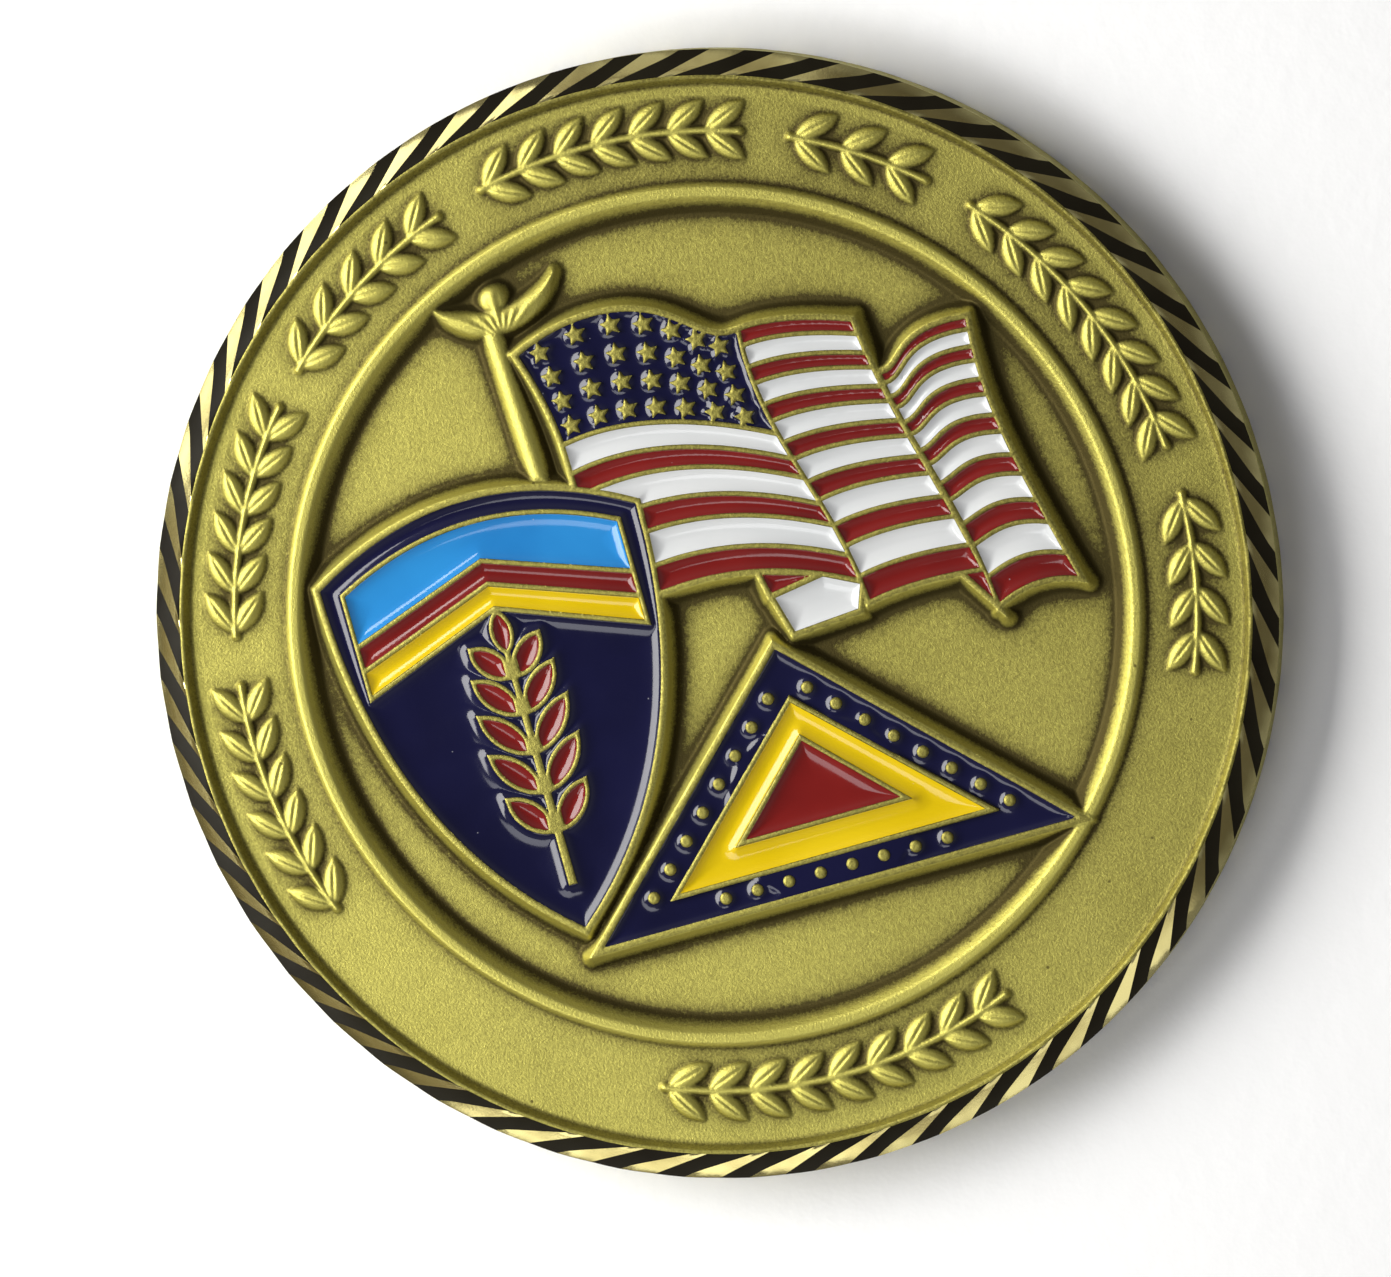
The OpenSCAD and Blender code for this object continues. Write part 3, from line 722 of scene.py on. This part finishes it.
class Nodes:
    """Short calls for wiring a material."""

    def __init__(self, name):
        self.material = bpy.data.materials.new(name)
        self.material.use_nodes = True
        self.tree = self.material.node_tree
        self.tree.nodes.clear()
        self.out = self.tree.nodes.new("ShaderNodeOutputMaterial")
        self.shader = self.tree.nodes.new("ShaderNodeBsdfPrincipled")
        self.tree.links.new(self.shader.outputs[0], self.out.inputs["Surface"])
        self.place = self.tree.nodes.new("ShaderNodeTexCoord").outputs["Object"]

    def link(self, value, socket):
        """Wires an output to the socket, or sets the socket's own value."""
        if hasattr(value, "is_linked"):
            self.tree.links.new(value, socket)
        else:
            socket.default_value = value

    def set(self, **values):
        """Sets the shader's inputs, named with underscores for spaces."""
        for key, value in values.items():
            self.link(value, self.shader.inputs[key.replace("_", " ")])

    def noise(self, size_mm, detail=2.0, rough=0.5, stretch=None, seed=0.0):
        """Noise from 0 to 1 whose blotches are about size_mm across."""
        node = self.tree.nodes.new("ShaderNodeTexNoise")
        place = self.place
        if stretch or seed:
            move = self.tree.nodes.new("ShaderNodeMapping")
            move.inputs["Location"].default_value = (seed, seed * 0.7, 0)
            move.inputs["Scale"].default_value = stretch or (1, 1, 1)
            self.link(place, move.inputs["Vector"])
            place = move.outputs[0]
        self.link(place, node.inputs["Vector"])
        node.inputs["Scale"].default_value = 0.5 / (size_mm * MM)
        node.inputs["Detail"].default_value = detail
        node.inputs["Roughness"].default_value = rough
        return node.outputs["Fac"]

    def specks(self, size_mm, share, seed=0.0):
        """1 on rare small spots, 0 elsewhere."""
        node = self.tree.nodes.new("ShaderNodeTexVoronoi")
        move = self.tree.nodes.new("ShaderNodeMapping")
        move.inputs["Location"].default_value = (seed, seed * 1.3, 0)
        self.link(self.place, move.inputs["Vector"])
        self.link(move.outputs[0], node.inputs["Vector"])
        node.inputs["Scale"].default_value = 1 / (size_mm * MM)
        return self.ramp(node.outputs["Distance"], share, share * 0.5)

    def ramp(self, value, low, high, to=(0.0, 1.0)):
        """The value carried from low..high to another range, and held at its ends."""
        node = self.tree.nodes.new("ShaderNodeMapRange")
        for key, v in zip(("Value", "From Min", "From Max", "To Min", "To Max"),
                          (value, low, high, *to)):
            self.link(v, node.inputs[key])
        return node.outputs[0]

    def math(self, operation, a, b=0.0, clamp=False):
        node = self.tree.nodes.new("ShaderNodeMath")
        node.operation, node.use_clamp = operation, clamp
        self.link(a, node.inputs[0])
        self.link(b, node.inputs[1])
        return node.outputs[0]

    def mix(self, share, a, b):
        node = self.tree.nodes.new("ShaderNodeMix")
        node.data_type = "RGBA"
        self.link(share, node.inputs[0])
        for value, k in ((a, 6), (b, 7)):
            self.link((*value, 1) if isinstance(value, tuple) else value, node.inputs[k])
        return node.outputs[2]

    def across(self, azimuth):
        """-1 to 1 from one side of the coin to the other."""
        node = self.tree.nodes.new("ShaderNodeVectorMath")
        node.operation = "DOT_PRODUCT"
        a = math.radians(azimuth)
        node.inputs[1].default_value = (math.cos(a) / EDGE_R / MM, math.sin(a) / EDGE_R / MM, 0)
        self.link(self.place, node.inputs[0])
        return node.outputs["Value"]

    def attribute(self, name):
        node = self.tree.nodes.new("ShaderNodeAttribute")
        node.attribute_name = name
        return node.outputs["Fac"]

    def bump(self, height, depth_mm, under=None):
        """A normal for the height, laid over an earlier bump."""
        node = self.tree.nodes.new("ShaderNodeBump")
        node.inputs["Distance"].default_value = depth_mm * MM
        self.link(height, node.inputs["Height"])
        if under:
            self.link(under, node.inputs["Normal"])
        return node.outputs[0]


def satin_brass():
    """Antiqued plating: fine-grained, dark in the hollows from its patina and painted soft shade,
    with painted shade darkening it towards one side of the coin.
    """
    n = Nodes("satin_brass")
    dark = n.attribute("patina_and_painted_shade")
    blotch = n.noise(2.5, 3, 0.6)
    grain = n.noise(0.055, 2, 0.8)
    coarse = n.noise(0.16, 3, 0.7, seed=4.4)
    amount = dark
    for field, strength in ((blotch, 0.25), (grain, 0.75), (coarse, 0.38)):
        spread = n.math("MULTIPLY", n.math("SUBTRACT", field, 0.5), strength)
        amount = n.math("ADD", amount, spread)
    # Painted shade: the plating darkens towards azimuth 27 degrees, with slow noise, for the light
    # falling off across the coin
    painted_shade_to_one_side = n.math("ADD", n.across(27), n.math("MULTIPLY", n.noise(7, 2, 0.5, seed=9.0), 0.8))
    amount = n.math("ADD", amount, n.ramp(painted_shade_to_one_side, 0.0, 0.95, (-0.04, 0.15)))
    amount = n.ramp(amount, 0.08, 0.95)
    speck = n.math("MULTIPLY", n.specks(1.9, 0.05), 0.8)
    amount = n.math("MAXIMUM", amount, speck, True)
    metal = n.mix(n.noise(1.2, 2, 0.5, seed=3.0), (0.49, 0.445, 0.102), (0.57, 0.52, 0.13))
    n.set(Base_Color=n.mix(amount, metal, (0.075, 0.060, 0.020)), Metallic=1.0,
          Roughness=n.ramp(amount, 0, 1, (0.50, 0.62)))
    fine = n.bump(grain, 0.020)
    brushed = n.noise(0.09, 1, 0.5, stretch=(0.06, 1, 1), seed=1.7)
    n.set(Normal=n.bump(brushed, 0.0015, n.bump(coarse, 0.007, fine)))
    return n.material


def cut_brass(name, colour, dark, roughness, metallic, specular):
    """The cut flanks: one side bright from the cutter, the other painted near-black as a painted
    dark reflection.
    """
    n = Nodes(name)
    blotch = n.noise(1.6, 3, 0.6)
    n.set(Base_Color=n.mix(n.ramp(blotch, 0.42, 0.75), colour, dark), Metallic=metallic,
          Roughness=n.ramp(blotch, 0.3, 0.8, roughness), Specular_IOR_Level=specular)
    n.set(Normal=n.bump(n.noise(0.05, 1, 0.5, stretch=(1, 1, 0.3)), 0.0012))
    return n.material


def enamel_paint(name, colour, other):
    """Baked enamel: two tones, a slow ripple, hair scratches and a little dust."""
    n = Nodes(name)
    tint = n.ramp(n.noise(1.8, 2, 0.5), 0.3, 0.7)
    dust = n.specks(1.1, 0.035, 4.0)
    n.set(Base_Color=n.mix(n.math("MULTIPLY", dust, 0.35), n.mix(tint, colour, other),
                           (0.55, 0.55, 0.58)),
          Roughness=n.ramp(n.noise(0.6, 3, 0.6, seed=2.0), 0.3, 0.8, (0.07, 0.16)),
          Specular_IOR_Level=0.5)
    ripple = n.bump(n.noise(1.3, 1, 0.4), 0.012)
    scratch = n.noise(0.05, 1, 0.5, stretch=(1, 0.05, 1), seed=5.0)
    n.set(Normal=n.bump(scratch, 0.0006, ripple))
    return n.material


def paper_floor():
    """Plain white paper with a faint tooth."""
    n = Nodes("paper_floor")
    n.set(Base_Color=n.mix(n.noise(30, 3, 0.5), (0.93, 0.935, 0.94), (0.96, 0.962, 0.965)),
          Roughness=0.85)
    n.set(Normal=n.bump(n.noise(0.6, 3, 0.6), 0.03))
    return n.material


# ---- Pieces ------------------------------------------------------------------

metal = coin_metal()
for material in (satin_brass(),
                 # The short flanks are painted near-black and barely reflect: a painted dark
                 # reflection in place of bright cut metal mirroring the dark space overhead
                 cut_brass("cut_flank_painted_dark", (0.014, 0.012, 0.007), (0.009, 0.007, 0.004),
                           (0.3, 0.45), 0.0, 0.05),
                 cut_brass("cut_brass_long", (0.76, 0.69, 0.31), (0.46, 0.39, 0.15),
                           (0.10, 0.2), 1.0, 0.5)):
    metal.data.materials.append(material)
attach(metal, "root")
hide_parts("coin_body")

PAINTS = {name: enamel_paint(name, colour, other) for name, colour, other in (
    ("navy_enamel", (0.005, 0.005, 0.026), (0.007, 0.007, 0.036)),
    ("light_blue_enamel", (0.018, 0.19, 0.50), (0.026, 0.25, 0.60)),
    ("red_enamel", (0.145, 0.008, 0.007), (0.19, 0.011, 0.009)),
    ("yellow_enamel", (0.62, 0.43, 0.0), (0.70, 0.50, 0.006)),
    ("white_enamel", (0.59, 0.605, 0.61), (0.65, 0.66, 0.66)))}


def paint_for(name):
    """The enamel slot of a node."""
    if name in ("chief_band_yellow", "triangle_frame"):
        return "yellow_enamel"
    if name == "chief_band_blue":
        return "light_blue_enamel"
    if name.endswith("_white"):
        return "white_enamel"
    if name.endswith("_red") or name.startswith("sprig_leaf") or name == "triangle_centre":
        return "red_enamel"
    return "navy_enamel"


for number, name in enumerate(fills):
    piece = enamel(name, Z_FILL - ENAMEL_DROP + ENAMEL_SPREAD * math.sin(2.4 * number))
    piece.data.materials.append(PAINTS[paint_for(name)])
    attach(piece, "root")
    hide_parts(name)

# ---- Floor, lights and camera ------------------------------------------------

CENTRE = Vector((0, 0, THICK / 2 * MM))


def toward(azimuth, elevation):
    """Unit vector from the coin, azimuth anticlockwise from +X."""
    a, e = math.radians(azimuth), math.radians(elevation)
    return Vector((math.cos(a) * math.cos(e), math.sin(a) * math.cos(e), math.sin(e)))


def lamp(name, azimuth, elevation, distance, size, power, colour):
    """A soft rectangular lamp that faces the coin."""
    data = bpy.data.lights.new(name, "AREA")
    data.shape, data.size, data.size_y = "RECTANGLE", size[0], size[1]
    data.energy, data.color = power, colour
    light = bpy.data.objects.new(name, data)
    light.location = CENTRE + toward(azimuth, elevation) * distance
    light.rotation_euler = (-toward(azimuth, elevation)).to_track_quat("-Z", "Y").to_euler()
    bpy.context.scene.collection.objects.link(light)


floor_mesh = bpy.data.meshes.new("floor")
floor_mesh.from_pydata([(-4, -4, 0), (4, -4, 0), (4, 4, 0), (-4, 4, 0)], [], [(0, 1, 2, 3)])
floor_mesh.materials.append(paper_floor())
floor = bpy.data.objects.new("floor", floor_mesh)
bpy.context.scene.collection.objects.link(floor)

lamp("key", 158, 37, 0.25, (0.25, 0.15), 1.04, (1.0, 0.99, 0.96))
lamp("glow", 225, 55, 0.25, (0.12, 0.09), 0.11, (0.97, 0.98, 1.0))
# Low strips that the cut flanks of the rim mirror towards the camera
lamp("left_strip", 136, 10, 0.6, (0.62, 0.13), 0.50, (1.0, 0.98, 0.95))
lamp("top_strip", 92, 17, 0.6, (0.30, 0.12), 0.045, (1.0, 0.98, 0.93))
lamp("low_strip", 250, 10, 0.6, (0.45, 0.12), 0.26, (1.0, 0.98, 0.93))
lamp("right_strip", 292, 17, 0.6, (0.45, 0.13), 0.18, (1.0, 0.98, 0.93))

# Soft grey bands from below to overhead; the camera itself sees only the plain backdrop
SKY = ((0.0, (0.30, 0.25, 0.17, 1)), (0.30, (0.10, 0.09, 0.08, 1)),
       (0.60, (0.32, 0.32, 0.33, 1)), (0.88, (0.12, 0.12, 0.13, 1)),
       (1.0, (0.08, 0.08, 0.09, 1)))
BACKDROP = (0.86, 0.87, 0.88, 1)
world = bpy.data.worlds.new("studio")
bpy.context.scene.world = world
world.use_nodes = True
tree = world.node_tree
back = tree.nodes["Background"]
where = tree.nodes.new("ShaderNodeTexCoord")
split = tree.nodes.new("ShaderNodeSeparateXYZ")
tree.links.new(where.outputs["Generated"], split.inputs[0])
ramp = tree.nodes.new("ShaderNodeValToRGB")
for k, (place, colour) in enumerate(SKY):
    stop = ramp.color_ramp.elements[k] if k < 2 else ramp.color_ramp.elements.new(place)
    stop.position, stop.color = place, colour
tree.links.new(split.outputs["Z"], ramp.inputs[0])
path = tree.nodes.new("ShaderNodeLightPath")
seen = tree.nodes.new("ShaderNodeMix")
seen.data_type = "RGBA"
tree.links.new(path.outputs["Is Camera Ray"], seen.inputs[0])
tree.links.new(ramp.outputs[0], seen.inputs[6])
seen.inputs[7].default_value = BACKDROP
tree.links.new(seen.outputs[2], back.inputs["Color"])
back.inputs["Strength"].default_value = 1.0

TILT, TILT_AZIMUTH, ROLL = 8.7, 14.0, 16.0
DISTANCE = 0.5
PIXELS_ACROSS = 1391    # the image is taken to be 1391 x 1277
SCALE = 25.42           # pixels for each millimetre at the coin
AIM_OFFSET = (22.5, 25) # pixels left of and below the coin's centre
SENSOR = 36
data = bpy.data.cameras.new("camera")
camera = bpy.data.objects.new("camera", data)
bpy.context.scene.collection.objects.link(camera)
data.sensor_width = SENSOR
data.lens = DISTANCE / MM * SCALE * SENSOR / PIXELS_ACROSS
data.clip_start, data.clip_end = 0.01, 20
away = toward(TILT_AZIMUTH, 90 - TILT)
up = Vector((math.sin(math.radians(ROLL)), math.cos(math.radians(ROLL)), 0))
right = up.cross(away).normalized()
up = away.cross(right).normalized()
aim = CENTRE - right * (AIM_OFFSET[0] / SCALE * MM) - up * (AIM_OFFSET[1] / SCALE * MM)
camera.matrix_world = Matrix.Translation(aim + away * DISTANCE) @ Matrix(
    (right, up, away)).transposed().to_4x4()
bpy.context.scene.camera = camera
bpy.context.scene.view_settings.view_transform = "Standard"

bpy.context.view_layer.update()
